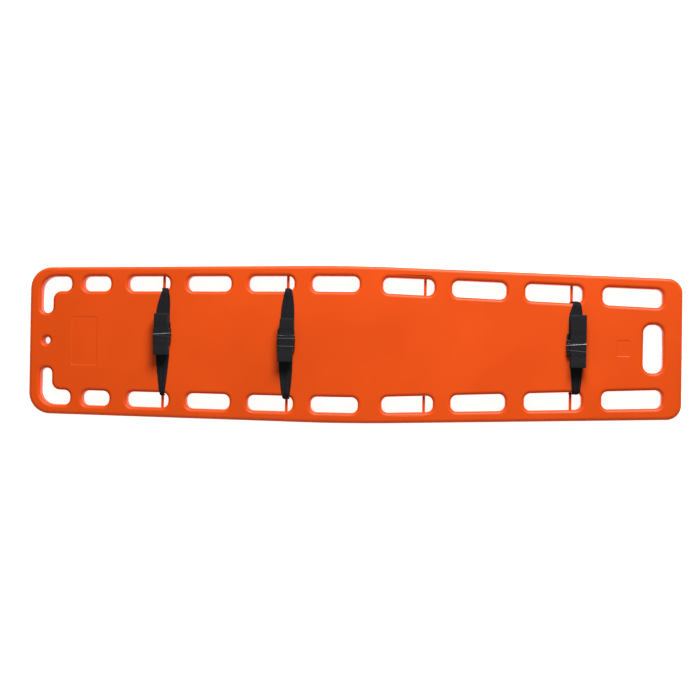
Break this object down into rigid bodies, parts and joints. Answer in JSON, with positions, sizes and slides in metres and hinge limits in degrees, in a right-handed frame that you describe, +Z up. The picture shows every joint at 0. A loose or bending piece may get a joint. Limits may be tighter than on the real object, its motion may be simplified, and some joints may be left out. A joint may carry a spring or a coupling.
{
  "type": "spine board",
  "caption": "Orange rotomoulded spine board with rounded hand slots along both sides, strap pins and folded black webbing straps with side-release buckles.",
  "frame": {"origin": "middle of the board on the plane its runners stand on", "axes": "+X from the head end to the foot end, +Y across the board towards the patient's left, +Z up from the runners to the deck"},
  "size_m": [1.84, 0.4444, 0.0859],
  "materials": {
    "board": "satin moulded polyethylene",
    "foam": "rigid foam",
    "plug": "matte",
    "pin": "satin moulded polyethylene",
    "webbing": "woven",
    "buckle": "satin moulded acetal",
    "tail": "woven",
    "film": "clear gloss film"
  },
  "bodies": {
    "board": {"board_shell": "board", "foam_core": "foam", "filling_plug": "plug", "pin_chest_upper": "pin", "pin_chest_lower": "pin", "pin_hip_upper": "pin", "pin_hip_lower": "pin", "pin_spare_upper": "pin", "pin_spare_lower": "pin", "pin_leg_upper": "pin", "pin_leg_lower": "pin"},
    "chest_strap_upper": {"webbing_chest_upper": "webbing", "buckle_latch_chest": "buckle", "buckle_prongs_chest": "buckle", "folded_tail_chest": "tail", "film_band_chest": "film"},
    "chest_strap_lower": {"webbing_chest_lower": "webbing", "buckle_receiver_chest": "buckle"},
    "hip_strap_upper": {"webbing_hip_upper": "webbing", "buckle_latch_hip": "buckle", "buckle_prongs_hip": "buckle", "folded_tail_hip": "tail", "film_band_hip": "film"},
    "hip_strap_lower": {"webbing_hip_lower": "webbing", "buckle_receiver_hip": "buckle"},
    "leg_strap_upper": {"webbing_leg_upper": "webbing", "buckle_latch_leg": "buckle", "buckle_prongs_leg": "buckle", "folded_tail_leg": "tail", "film_band_leg": "film"},
    "leg_strap_lower": {"webbing_leg_lower": "webbing", "buckle_receiver_leg": "buckle"}
  },
  "joints": [
    {"name": "chest_strap_upper_slide", "type": "slide", "parent": "board", "child": "chest_strap_upper", "axis": [0, 1, 0], "range_m": [0, 0.027], "deforming": ["buckle_prongs_chest"]},
    {"name": "chest_strap_lower_slide", "type": "slide", "parent": "board", "child": "chest_strap_lower", "axis": [0, -1, 0], "range_m": [0, 0.027], "deforming": ["buckle_prongs_chest"]},
    {"name": "hip_strap_upper_slide", "type": "slide", "parent": "board", "child": "hip_strap_upper", "axis": [0, 1, 0], "range_m": [0, 0.029], "deforming": ["buckle_prongs_hip"]},
    {"name": "hip_strap_lower_slide", "type": "slide", "parent": "board", "child": "hip_strap_lower", "axis": [0, -1, 0], "range_m": [0, 0.029], "deforming": ["buckle_prongs_hip"]},
    {"name": "leg_strap_upper_slide", "type": "slide", "parent": "board", "child": "leg_strap_upper", "axis": [0, 1, 0], "range_m": [0, 0.037], "deforming": ["buckle_prongs_leg"]},
    {"name": "leg_strap_lower_slide", "type": "slide", "parent": "board", "child": "leg_strap_lower", "axis": [0, -1, 0], "range_m": [0, 0.037], "deforming": ["buckle_prongs_leg"]}
  ]
}
